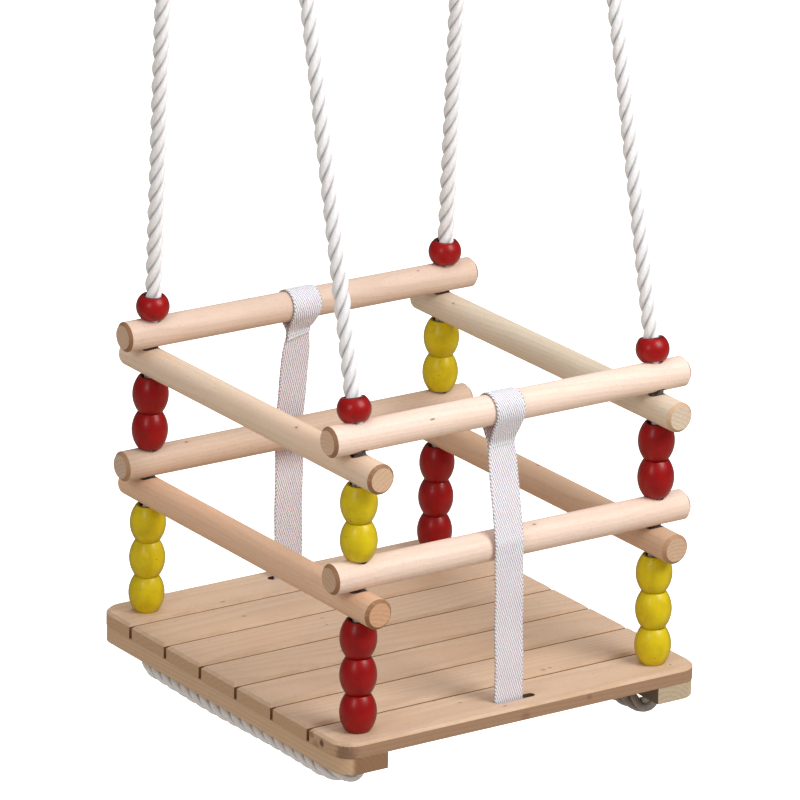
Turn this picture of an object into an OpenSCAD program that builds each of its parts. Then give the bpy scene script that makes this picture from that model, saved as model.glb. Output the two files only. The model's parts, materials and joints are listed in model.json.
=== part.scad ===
// Child's swing seat: seven wooden slats on two battens, fenced by a cage of round rails and
// beads, threaded on two ropes that hang from rings, with a webbing strap across the middle.
// X runs left to right, Y front to rear, Z up. The middle of the seat's upper face is the origin.

/* [Seat] */
// Length of every seat slat, side to side
slat_len = 334; // [320:1:345]
// Width of one seat slat, front to back
slat_w = 47; // [45:0.5:49]
// Open gap between two slats
slat_gap = 3.8; // [2:0.1:6]
// Thickness of the seat slats
slat_t = 12; // [11:0.5:15]
// Chamfer along the upper edges of the slats
slat_edge = 2.2; // [1:0.1:2.4]
// Radius of the seat's four outer corners, seen from above
corner_r = 18; // [10:1:22]
// Width of the two cross battens under the slats
batten_w = 41; // [40:1:46]
// Thickness of the cross battens
batten_t = 13; // [12:0.5:16]

/* [Cage] */
// Diameter of all eight round rails
rail_d = 24; // [23:0.5:26]
// Length of the four rails that run side to side
rail_x_len = 329; // [315:1:340]
// Length of the four rails that run front to back
rail_y_len = 355; // [345:1:370]
// Chamfer on the ends of the rails
rail_edge = 2.5; // [1:0.5:3]
// Height of one barrel bead
bead_h = 29.5; // [26:0.5:32]
// Largest diameter of a barrel bead
bead_d = 28.8; // [26:0.2:30]
// Diameter of a barrel bead's flat ends
bead_end_d = 19; // [17.5:0.2:20]
// Largest diameter of the ball bead above the rails
ball_d = 26.4; // [26.2:0.2:28]
// Diameter of the ball bead's flat ends
ball_end_d = 18.4; // [17.6:0.2:18.6]
// Height of the ball bead
ball_h = 18.4; // [16:0.2:18.6]

/* [Ropes] */
// Diameter of the two ropes
rope_d = 12; // [11:0.5:12.5]
// Diameter of the rope holes through wood
hole_d = 13.6; // [13.6:0.1:14.4]
// Half the distance between the left and the right rope
rope_x = 137.5; // [136:0.5:139]
// Half the distance between front and rear rope holes in the seat
rope_y = 151; // [149:0.5:153]
// How far each rope leans inward between seat and top rails
rope_lean = 5; // [3:0.5:7]
// How far the hanging rings sit behind the middle of the seat
hang_y = 97; // [80:1:105]
// How far the ropes hang clear of the battens under the seat
rope_slack = 7; // [0:0.5:10]
// Height of the rope sleeve's lower end above the seat
sleeve_z = 1215; // [1100:5:1400]

/* [Hanging hardware] */
// Length of the sleeve that joins the rope below each ring
sleeve_len = 30; // [24:1:36]
// Wall of the sleeve
sleeve_wall = 2.2; // [1.8:0.1:3]
// Wire diameter of the hanging rings
ring_wire = 6; // [5:0.5:6]
// Inner diameter of the hanging rings
ring_id = 40; // [36:1:50]

/* [Strap] */
// Width of the webbing strap
strap_w = 25; // [20:1:28]
// Thickness of the webbing strap
strap_t = 1.6; // [1.2:0.1:1.8]
// Sideways position of the strap's middle
strap_x = -2.5; // [-4:0.5:2]
// Distance of the strap slots from the middle of the seat
slot_y = 159; // [157:0.5:161]
// Length of the strap slots
slot_len = 37; // [36:0.5:42]
// Width of the strap slots
slot_w = 7; // [6.5:0.5:8]

/* [Screws] */
// Distance of the screw rows from the middle of the seat
screw_x = 154; // [153:0.5:155]
// Shank diameter of the wood screws
screw_d = 3.5; // [3:0.1:4]
// Head diameter of the wood screws
screw_head_d = 7; // [6.5:0.1:7.5]
// Overall length of the wood screws
screw_len = 20; // [18:0.5:21]

/* [Hidden] */
$fn = 64;

wood = "#e8d0b2";
seat_wood = "#d9b98f";
red = "#b3131b";
yellow = "#dfc617";
white = "#f4f4f2";

// Throughout, side is -1 for left or front and 1 for right or rear.
sides = [-1, 1];
over = 1;                        // how far cutters reach past a face
gap = 0.1;                       // play between stacked pieces
rail_r = rail_d / 2;
rope_r = rope_d / 2;

// heights in the stack
lower_beads = 3;                 // beads below the lower rails, in each corner
upper_beads = 2;                 // beads between lower and top rails
bead_pitch = bead_h + gap;
z_low_y = lower_beads * bead_pitch + gap + rail_r;          // lower front-to-back rails
z_low_x = z_low_y + rail_d + gap;                           // lower side-to-side rails
z_mid = z_low_x + rail_r;                                   // top of the lower rails
z_top_y = z_mid + upper_beads * bead_pitch + gap + rail_r;  // top front-to-back rails
z_kink = z_top_y + rail_r + gap / 2;                        // where the rope starts to lean more
z_top_x = z_kink + gap / 2 + rail_r;                        // top side-to-side rails
under_play = 0.4;
z_under = -slat_t - batten_t - under_play - rope_slack - rope_r;  // rope run under the battens

// half distance of the rope from the middle, at a height inside the stack
function stack_y(z) = rope_y - rope_lean * z / z_kink;

// rope legs above the cage: half their spacing in the sleeve, and their lean from the vertical
leg_half = rope_r + 0.5;
function leg_lean(side) =
  atan2(hang_y + side * leg_half - side * stack_y(z_kink), sleeve_z - z_kink);
function top_rail_y(side) = side * stack_y(z_kink) + (z_top_x - z_kink) * tan(leg_lean(side));

// ---------------------------------------------------------------- seat
seat_depth = 7 * slat_w + 6 * slat_gap;
under_edge = 0.6;                // chamfer along the slats' lower edges
slot_x = 1;                      // sideways position of the strap slots
batten_play = 0.05;              // between slats and battens
batten_inset = 0.3;              // battens stand back from the seat's outline
batten_z = -slat_t - batten_play - batten_t;   // underside of the battens
rope_flare = 8;                  // widening of the rope holes at the battens' underside
rope_flare_h = 4;
pilot_d = screw_d + 0.1;
pilot_h = screw_len - batten_t + 0.3;          // depth of the screw holes in the slats

function slat_y(i) = (4 - i) * (slat_w + slat_gap);   // slat 1 is the rearmost

// screws of the end slats stand clear of the rope holes
screw_end_y = slat_y(1) - slat_w / 2 + 9;
screw_ys = [screw_end_y, for (i = [2 : 6]) slat_y(i), -screw_end_y];

// plan outline of the seat, rounded at its four outer corners
module seat_plan(inset = 0) {
  size_x = slat_len - 2 * inset;
  size_y = seat_depth - 2 * inset;
  square([size_x - 2 * corner_r, size_y], center = true);
  square([size_x, size_y - 2 * corner_r], center = true);
  for (side_x = sides, side_y = sides)
    translate([side_x * (size_x / 2 - corner_r), side_y * (size_y / 2 - corner_r)])
      circle(r = corner_r);
}

// cross-section along X, met with the side view that chamfers the upper ends
module slat_bar() {
  half_w = slat_w / 2;
  half_len = slat_len / 2;
  intersection() {
    translate([-half_len, 0, 0]) rotate([90, 0, 90]) linear_extrude(height = 2 * half_len)
      polygon([
        [-half_w, -slat_t + under_edge], [-half_w + under_edge, -slat_t],
        [half_w - under_edge, -slat_t], [half_w, -slat_t + under_edge],
        [half_w, -slat_edge], [half_w - slat_edge, 0],
        [-half_w + slat_edge, 0], [-half_w, -slat_edge]]);
    translate([0, half_w, 0]) rotate([90, 0, 0]) linear_extrude(height = 2 * half_w)
      polygon([
        [-half_len, -slat_t], [half_len, -slat_t], [half_len, -slat_edge],
        [half_len - slat_edge, 0], [-half_len + slat_edge, 0], [-half_len, -slat_edge]]);
  }
}

module strap_slot() {
  half = slot_len / 2 - slot_w / 2;
  height = slat_t + 2 * over;
  translate([slot_x, 0, -slat_t - over]) {
    for (side = sides) translate([side * half, 0, 0]) cylinder(d = slot_w, h = height);
    translate([-half, -slot_w / 2, 0]) cube([2 * half, slot_w, height]);
  }
}

module pilot_holes(y) {
  for (side = sides) translate([side * screw_x, y, -slat_t - over])
    cylinder(d = pilot_d, h = pilot_h + over);
}

module inner_slat(i) {
  color(seat_wood) difference() {
    translate([0, slat_y(i), 0]) slat_bar();
    pilot_holes(slat_y(i));
  }
}

// carries the slats' upper chamfer round a corner
module corner_chamfer() {
  lift = 0.5;
  rotate([0, 0, 0.5]) rotate_extrude(angle = 89) polygon([
    [corner_r - slat_edge - lift, lift],
    [corner_r + over, -slat_edge - over],
    [corner_r + 3, lift]]);
}

// front or rear slat
module outer_slat(side) {
  color(seat_wood) difference() {
    intersection() {
      translate([0, side * slat_y(1), 0]) slat_bar();
      translate([0, 0, -slat_t - over]) linear_extrude(height = slat_t + 2 * over) seat_plan();
    }
    for (side_x = sides)
      translate([side_x * rope_x, side * stack_y(-slat_t / 2), -slat_t - over])
        cylinder(d = hole_d, h = slat_t + 2 * over);
    for (side_x = sides)
      translate([side_x * (slat_len / 2 - corner_r), side * (seat_depth / 2 - corner_r), 0])
        rotate([0, 0, atan2(side, side_x) - 45]) corner_chamfer();
    translate([0, side * slot_y, 0]) strap_slot();
    pilot_holes(side * screw_end_y);
  }
}

module batten(side) {
  color(wood) difference() {
    intersection() {
      translate([0, 0, batten_z]) linear_extrude(height = batten_t) seat_plan(batten_inset);
      translate([side * (slat_len / 2 - batten_w / 2), 0, -slat_t - batten_t / 2])
        cube([batten_w, seat_depth + 2 * over, batten_t + 2 * over], center = true);
    }
    for (side_y = sides)
      translate([side * rope_x, side_y * stack_y(-slat_t - batten_t / 2),
                 -slat_t - batten_t - over]) {
        cylinder(d = hole_d, h = batten_t + 2 * over);
        cylinder(d1 = hole_d + rope_flare, d2 = hole_d, h = rope_flare_h);
      }
    for (y = screw_ys) translate([side * screw_x, y, batten_z - 0.01]) {
      translate([0, 0, -over]) cylinder(d = pilot_d, h = batten_t + 3 * over);
      translate([0, 0, -0.3]) cylinder(d1 = screw_head_d + 0.8, d2 = pilot_d, h = 2.9);
    }
  }
}

// countersunk screw, point up, with a cross recess in its head
module wood_screw() {
  head_h = 2.4;
  tip_h = 4;
  tip_d = 0.6;
  recess_len = 4;
  recess_w = 0.9;
  recess_depth = 1.4;
  difference() {
    union() {
      cylinder(d1 = screw_head_d, d2 = screw_d, h = head_h);
      translate([0, 0, head_h]) cylinder(d = screw_d, h = screw_len - head_h - tip_h);
      translate([0, 0, screw_len - tip_h]) cylinder(d1 = screw_d, d2 = tip_d, h = tip_h);
    }
    for (a = [0, 90]) rotate([0, 0, a]) translate([-recess_len / 2, -recess_w / 2, -over])
      cube([recess_len, recess_w, recess_depth + over]);
  }
}

// heads lie flush with the batten's underside
module batten_screws(side) {
  color("silver") for (y = screw_ys) translate([side * screw_x, y, batten_z]) wood_screw();
}

// ---------------------------------------------------------------- cage
// a round bar along X, centred, with chamfered ends
module bar(len) {
  translate([-len / 2, 0, 0]) rotate([0, 90, 0]) rotate_extrude() polygon([
    [0, 0], [rail_r - rail_edge, 0], [rail_r, rail_edge],
    [rail_r, len - rail_edge], [rail_r - rail_edge, len], [0, len]]);
}

module rail_hole() {
  cylinder(d = hole_d, h = rail_d + 4 * over, center = true);
}

// side-to-side rail; the holes lean with the rope
module x_rail(y, z, lean) {
  color(wood) translate([0, y, z]) rotate([-lean, 0, 0]) difference() {
    bar(rail_x_len);
    for (side = sides) translate([side * rope_x, 0, 0]) rail_hole();
  }
}

// front-to-back rail
module y_rail(side, z) {
  color(wood) difference() {
    translate([side * rope_x, 0, z]) rotate([0, 0, 90]) bar(rail_y_len);
    for (side_y = sides) translate([side * rope_x, side_y * stack_y(z), z]) rail_hole();
  }
}

// turned profile: a wide arc between two flat ends, with a bore
module turned_bead(d, end_d, h) {
  sag = (d - end_d) / 2;
  arc_r = (h * h / 4 + sag * sag) / (2 * sag);
  rotate_extrude() difference() {
    intersection() {
      translate([d / 2 - arc_r, 0]) circle(r = arc_r, $fn = 160);
      translate([0, -h / 2]) square([d, h]);
    }
    translate([-over, -h]) square([hole_d / 2 + over, 2 * h]);
  }
}

// underside of bead i, counted from the seat up
function bead_z(i) = gap + (i <= lower_beads
  ? (i - 1) * bead_pitch
  : z_mid + (i - lower_beads - 1) * bead_pitch);

// each corner changes colour at the lower rails, and neighbouring corners differ
module bead(side_x, side_y, i) {
  z = bead_z(i) + bead_h / 2;
  color((side_x * side_y > 0) == (i <= lower_beads) ? red : yellow)
    translate([side_x * rope_x, side_y * stack_y(z), z]) turned_bead(bead_d, bead_end_d, bead_h);
}

// ball bead on a top rail, leaning with the rope
module ball(side_x, side_y) {
  color(red) translate([side_x * rope_x, top_rail_y(side_y), z_top_x])
    rotate([-leg_lean(side_y), 0, 0]) translate([0, 0, rail_r + gap + ball_h / 2])
      turned_bead(ball_d, ball_end_d, ball_h);
}

// ---------------------------------------------------------------- ropes
sleeve_mid = sleeve_z + sleeve_len / 2;
rope_top = sleeve_z + sleeve_len + 1;   // where the legs start to spread into the eye
end_gap = 0.5;                   // between the rope's two cut ends, inside the sleeve
elbow_r = 9;                     // bend of the rope under the battens
swell = 0.2;                     // the knuckles between segments stand this much proud
trim = 0.5;                      // the segments stop this short of a knuckle's centre

// eye of the rope around the ring wire, joined to the legs by two flares
eye_r = ring_wire / 2 + 0.5 + rope_r;
eye_flare_r = 2 * rope_r;
eye_a = acos((leg_half + eye_flare_r) / (eye_r + eye_flare_r));
eye_z = rope_top + (eye_flare_r + eye_r) * sin(eye_a);

// the rope's middle line as [y, z]: down the rear leg, under the seat, up the front leg
rope_pts = [
  [hang_y + leg_half, rope_top], [hang_y + leg_half, sleeve_z],
  [stack_y(z_kink), z_kink], [stack_y(z_under), z_under],
  [-stack_y(z_under), z_under], [-stack_y(z_kink), z_kink],
  [hang_y - leg_half, sleeve_z], [hang_y - leg_half, rope_top]];
rope_last = len(rope_pts) - 1;
elbows = [3, 4];                 // points with a round bend
joints = [0, 1, 2, 5, 6, 7];     // points with a knuckle only

function angle_to(from, to) = atan2(to[1] - from[1], to[0] - from[0]);
function unit(a) = [cos(a), sin(a)];
function segment_angle(i) = angle_to(rope_pts[i], rope_pts[i + 1]);
function bend(i) = (segment_angle(i - 1) - segment_angle(i) + 720) % 360;
// length an elbow takes off the segments that meet at point i
function setback(i) = len(search(i, elbows)) > 0 ? elbow_r * tan(bend(i) / 2) : 0;

// round joint between two segments, its poles hidden inside them; a is the rope's heading
module knuckle(p, a) {
  translate([p[0], p[1], 0]) rotate([0, 0, a]) rotate([0, 90, 0]) sphere(r = rope_r + swell);
}

// segment from point i to the next
module straight(i) {
  a = segment_angle(i);
  start = rope_pts[i] + (setback(i) + trim) * unit(a);
  end = rope_pts[i + 1] - (setback(i + 1) + trim) * unit(a);
  translate([start[0], start[1], 0]) rotate([0, 0, a]) rotate([0, 90, 0])
    cylinder(r = rope_r, h = norm(end - start));
}

// part of a torus from one angle to another about a centre, stopping short at both ends
module arc_piece(centre, r, from, to) {
  trim_a = trim / r * 180 / PI;
  translate([centre[0], centre[1], 0]) rotate([0, 0, from + trim_a])
    rotate_extrude(angle = to - from - 2 * trim_a) translate([r, 0]) circle(r = rope_r);
}

// right-hand bend at point i
module elbow(i) {
  a = segment_angle(i - 1);
  turn = bend(i);
  centre = rope_pts[i] - setback(i) * unit(a) + elbow_r * unit(a - 90);
  arc_piece(centre, elbow_r, a + 90 - turn, a + 90);
  knuckle(centre + elbow_r * unit(a + 90), a);
  knuckle(centre + elbow_r * unit(a + 90 - turn), a - turn);
}

// drawn flat as [y, z], then stood up across the seat
module rope(side) {
  eye = [hang_y, eye_z];
  flare_y = leg_half + eye_flare_r;
  cut_leg = [[sleeve_z + trim, sleeve_mid - end_gap / 2],
             [sleeve_mid + end_gap / 2, rope_top - trim]];
  color(white) translate([side * rope_x, 0, 0]) rotate([90, 0, 90]) union() {
    for (i = [1 : rope_last - 1]) straight(i);
    for (span = cut_leg) translate([hang_y + leg_half, span[0], 0]) rotate([-90, 0, 0])
      cylinder(r = rope_r, h = span[1] - span[0]);
    for (i = joints)
      knuckle(rope_pts[i], angle_to(rope_pts[max(i - 1, 0)], rope_pts[min(i + 1, rope_last)]));
    for (i = elbows) elbow(i);
    arc_piece(eye, eye_r, -eye_a, 180 + eye_a);
    arc_piece([hang_y + flare_y, rope_top], eye_flare_r, 180 - eye_a, 180);
    arc_piece([hang_y - flare_y, rope_top], eye_flare_r, 0, eye_a);
    knuckle(eye + eye_r * unit(-eye_a), 90 - eye_a);
    knuckle(eye + eye_r * unit(180 + eye_a), 90 + eye_a);
  }
}

// ---------------------------------------------------------------- hanging hardware
module sleeve(side) {
  outer_r = rope_r + 0.15 + sleeve_wall;
  bore_r = rope_r + 0.1;
  low_inset = 2.5;
  top_inset = 0.5;
  color("silver") translate([side * rope_x, hang_y, sleeve_z + low_inset])
    linear_extrude(height = sleeve_len - low_inset - top_inset) difference() {
      union() {
        for (leg = sides) translate([0, leg * leg_half]) circle(r = outer_r);
        square([2 * outer_r, 2 * leg_half], center = true);
      }
      for (leg = sides) translate([0, leg * leg_half]) circle(r = bore_r);
    }
}

module ring(side) {
  ring_r = ring_id / 2 + ring_wire / 2;
  color("silver") translate([side * rope_x, hang_y, eye_z + ring_r]) rotate([90, 0, 0])
    rotate_extrude() translate([ring_r, 0]) circle(r = ring_wire / 2);
}

// ---------------------------------------------------------------- strap
loop_r = rail_r + 0.3 + strap_t / 2;   // loop round the top rail
seam_drop = 29;                  // sewn end below the rail's middle
seam_half = 0.95;                // half distance between the strap's two layers at the seam
seam_a = asin((loop_r - 1) / seam_drop);
strap_bend_r = 3.5;              // bend under the slots

// middle line of one half of the strap, from its sewn end to the middle of the seat, as [y, z]
function half_strap(side) = let (
    rail_y = top_rail_y(side),
    seam_z = z_top_x - seam_drop,
    outside_y = stack_y(z_low_x) + rail_r + 1.4 + strap_t / 2,   // past the lower rail
    run_z = -slat_t - 0.6 - strap_t / 2)
  concat(
    [[rail_y - side * seam_half, seam_z]],
    [for (a = [-seam_a : (180 + 2 * seam_a) / 24 : 180 + seam_a + 0.01])
      [rail_y - side * loop_r * cos(a), z_top_x + loop_r * sin(a)]],
    [[rail_y + side * seam_half, seam_z]],
    [[side * outside_y, z_low_x + 5], [side * (outside_y - 0.1), z_low_x - 6]],
    [[side * slot_y, 0]],
    [for (a = [0 : 15 : 90])
      [side * (slot_y - strap_bend_r * (1 - cos(a))), run_z + strap_bend_r * (1 - sin(a))]],
    [[0, run_z]]);

function heading(line, i) =
  let (step = line[min(i + 1, len(line) - 1)] - line[max(i - 1, 0)]) step / norm(step);
function offset_line(line, distance) = [for (i = [0 : len(line) - 1])
  let (along = heading(line, i)) line[i] + distance * [-along[1], along[0]]];
function reversed(line) = [for (i = [len(line) - 1 : -1 : 0]) line[i]];

module half_strap_2d(side) {
  line = half_strap(side);
  polygon(concat(offset_line(line, strap_t / 2), reversed(offset_line(line, -strap_t / 2))));
}

module webbing() {
  color(white) translate([strap_x - strap_w / 2, 0, 0]) rotate([90, 0, 90])
    linear_extrude(height = strap_w) union() {
      half_strap_2d(-1);
      half_strap_2d(1);
    }
}

outer_slat(1);  // rear_slat
inner_slat(2);  // slat_2
inner_slat(3);  // slat_3
inner_slat(4);  // middle_slat
inner_slat(5);  // slat_5
inner_slat(6);  // slat_6
outer_slat(-1);  // front_slat
batten(-1);  // left_batten
batten(1);  // right_batten
batten_screws(-1);  // left_batten_screws
batten_screws(1);  // right_batten_screws
x_rail(-stack_y(z_low_x), z_low_x, 0);  // front_lower_rail
x_rail(stack_y(z_low_x), z_low_x, 0);  // rear_lower_rail
y_rail(-1, z_low_y);  // left_lower_rail
y_rail(1, z_low_y);  // right_lower_rail
x_rail(top_rail_y(-1), z_top_x, leg_lean(-1));  // front_top_rail
x_rail(top_rail_y(1), z_top_x, leg_lean(1));  // rear_top_rail
y_rail(-1, z_top_y);  // left_top_rail
y_rail(1, z_top_y);  // right_top_rail
bead(-1, -1, 1);  // front_left_bead_1
bead(-1, -1, 2);  // front_left_bead_2
bead(-1, -1, 3);  // front_left_bead_3
bead(-1, -1, 4);  // front_left_bead_4
bead(-1, -1, 5);  // front_left_bead_5
bead(1, -1, 1);  // front_right_bead_1
bead(1, -1, 2);  // front_right_bead_2
bead(1, -1, 3);  // front_right_bead_3
bead(1, -1, 4);  // front_right_bead_4
bead(1, -1, 5);  // front_right_bead_5
bead(-1, 1, 1);  // rear_left_bead_1
bead(-1, 1, 2);  // rear_left_bead_2
bead(-1, 1, 3);  // rear_left_bead_3
bead(-1, 1, 4);  // rear_left_bead_4
bead(-1, 1, 5);  // rear_left_bead_5
bead(1, 1, 1);  // rear_right_bead_1
bead(1, 1, 2);  // rear_right_bead_2
bead(1, 1, 3);  // rear_right_bead_3
bead(1, 1, 4);  // rear_right_bead_4
bead(1, 1, 5);  // rear_right_bead_5
ball(-1, -1);  // front_left_ball
ball(1, -1);  // front_right_ball
ball(-1, 1);  // rear_left_ball
ball(1, 1);  // rear_right_ball
rope(-1);  // left_rope
rope(1);  // right_rope
sleeve(-1);  // left_rope_sleeve
sleeve(1);  // right_rope_sleeve
ring(-1);  // left_ring
ring(1);  // right_ring
webbing();  // webbing_strap
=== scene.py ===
"""A wooden swing seat: slats on battens, a fence of round rails over painted beads, two laid
ropes that run under the seat and up through the beads to a ring, and a twill strap.

The front is -Y, the left is -X and up is +Z. Lengths are in metres.
"""

import json
import math
import random

import bpy
import numpy as np
from mathutils import Matrix, Vector


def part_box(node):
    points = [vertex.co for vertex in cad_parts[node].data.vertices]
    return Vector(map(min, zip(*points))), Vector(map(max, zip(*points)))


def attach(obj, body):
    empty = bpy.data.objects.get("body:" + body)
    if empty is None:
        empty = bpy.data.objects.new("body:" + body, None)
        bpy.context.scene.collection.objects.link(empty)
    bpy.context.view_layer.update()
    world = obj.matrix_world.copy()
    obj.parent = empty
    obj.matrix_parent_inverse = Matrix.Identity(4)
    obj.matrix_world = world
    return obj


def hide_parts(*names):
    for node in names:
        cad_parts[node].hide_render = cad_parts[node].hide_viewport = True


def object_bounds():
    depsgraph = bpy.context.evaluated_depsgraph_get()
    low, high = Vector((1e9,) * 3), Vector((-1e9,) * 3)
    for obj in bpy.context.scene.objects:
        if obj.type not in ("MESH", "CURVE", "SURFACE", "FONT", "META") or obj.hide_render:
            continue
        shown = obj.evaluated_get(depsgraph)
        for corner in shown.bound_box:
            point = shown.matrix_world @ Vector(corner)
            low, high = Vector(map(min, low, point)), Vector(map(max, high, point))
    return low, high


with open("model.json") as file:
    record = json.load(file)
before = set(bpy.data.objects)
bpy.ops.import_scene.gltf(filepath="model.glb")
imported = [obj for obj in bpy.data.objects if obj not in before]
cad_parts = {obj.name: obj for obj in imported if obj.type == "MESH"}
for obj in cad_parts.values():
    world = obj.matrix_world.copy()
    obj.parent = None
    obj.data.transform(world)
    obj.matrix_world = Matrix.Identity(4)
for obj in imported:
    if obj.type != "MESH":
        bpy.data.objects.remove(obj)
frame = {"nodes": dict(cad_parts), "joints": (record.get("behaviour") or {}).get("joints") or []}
cad_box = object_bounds()
nodes = frame["nodes"]
joints = {joint["name"]: joint for joint in frame["joints"]}


def centre(piece):
    low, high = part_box(piece)
    return (low + high) / 2


# ---------------------------------------------------------------- shader helpers
class Signal:
    """A shader socket. Arithmetic on it adds Math nodes."""

    def __init__(self, shader, socket):
        self.shader = shader
        self.socket = socket

    def __add__(self, other):
        return self.shader.math("ADD", self, other)

    def __radd__(self, other):
        return self.shader.math("ADD", other, self)

    def __sub__(self, other):
        return self.shader.math("SUBTRACT", self, other)

    def __rsub__(self, other):
        return self.shader.math("SUBTRACT", other, self)

    def __mul__(self, other):
        return self.shader.math("MULTIPLY", self, other)

    def __truediv__(self, other):
        return self.shader.math("DIVIDE", self, other)

    def __abs__(self):
        return self.shader.math("ABSOLUTE", self)

    def step(self, start, end):
        """Smooth 0 to 1 as the value goes from start to end, which may be the lower one."""
        inputs = {"Value": self, "From Min": start, "From Max": end}
        return self.shader.signal("MapRange", inputs, interpolation_type="SMOOTHSTEP")


class Shader:
    """Builds the node tree of a material or a world."""

    def __init__(self, owner):
        self.owner = owner
        owner.use_nodes = True
        self.tree = owner.node_tree
        self.tree.nodes.clear()

    def node(self, kind, inputs=None, **props):
        node = self.tree.nodes.new("ShaderNode" + kind)
        for key, value in props.items():
            setattr(node, key, value)
        for key, value in (inputs or {}).items():
            value = getattr(value, "socket", value)
            if isinstance(value, bpy.types.NodeSocket):
                self.tree.links.new(value, node.inputs[key])
            else:
                node.inputs[key].default_value = value
        return node

    def signal(self, kind, inputs=None, output=0, **props):
        return Signal(self, self.node(kind, inputs, **props).outputs[output])

    def math(self, operation, first, second=0.0):
        return self.signal("Math", {0: first, 1: second, 2: 0.0}, operation=operation)

    def mix(self, factor, first, second):
        return self.signal("Mix", {0: factor, 6: first, 7: second}, output=2, data_type="RGBA")

    def xyz(self, x, y, z):
        return self.signal("CombineXYZ", {0: x, 1: y, 2: z})

    def split(self, vector):
        outputs = self.node("SeparateXYZ", {0: vector}).outputs
        return [Signal(self, output) for output in outputs]

    def place(self, point):
        return self.xyz(*point) if isinstance(point, tuple) else point

    def noise(self, point, scale=1.0, detail=2.0, rough=0.5):
        return self.signal("TexNoise", {"Vector": self.place(point), "Scale": scale,
                                        "Detail": detail, "Roughness": rough})

    def cells(self, point, scale=1.0):
        """Distance to the nearest of a set of scattered points."""
        return self.signal("TexVoronoi", {"Vector": self.place(point), "Scale": scale}, "Distance")

    def bump(self, height, strength, distance, bevel=None):
        """Relief, on edges rounded to the radius bevel if one is given."""
        inputs = {"Height": height, "Strength": strength, "Distance": distance}
        if bevel is not None:
            inputs["Normal"] = self.signal("Bevel", {"Radius": bevel}, samples=4)
        return self.signal("Bump", inputs)

    def finish(self, **inputs):
        inputs = {key.replace("_", " "): value for key, value in inputs.items()}
        self.node("OutputMaterial", {0: self.signal("BsdfPrincipled", inputs)})
        return self.owner


def new_material(name):
    return Shader(bpy.data.materials.new(name))


def rgb(red, green, blue):
    """Linear colour from 0-255 sRGB."""
    def linear(channel):
        channel /= 255
        return channel / 12.92 if channel <= 0.04045 else ((channel + 0.055) / 1.055) ** 2.4
    return (linear(red), linear(green), linear(blue), 1.0)


def tint(colour, *factors):
    """Scale a colour by one factor, or by one for each channel."""
    factors = factors if len(factors) == 3 else factors * 3
    return tuple(channel * factor for channel, factor in zip(colour, factors)) + (1,)


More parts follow.
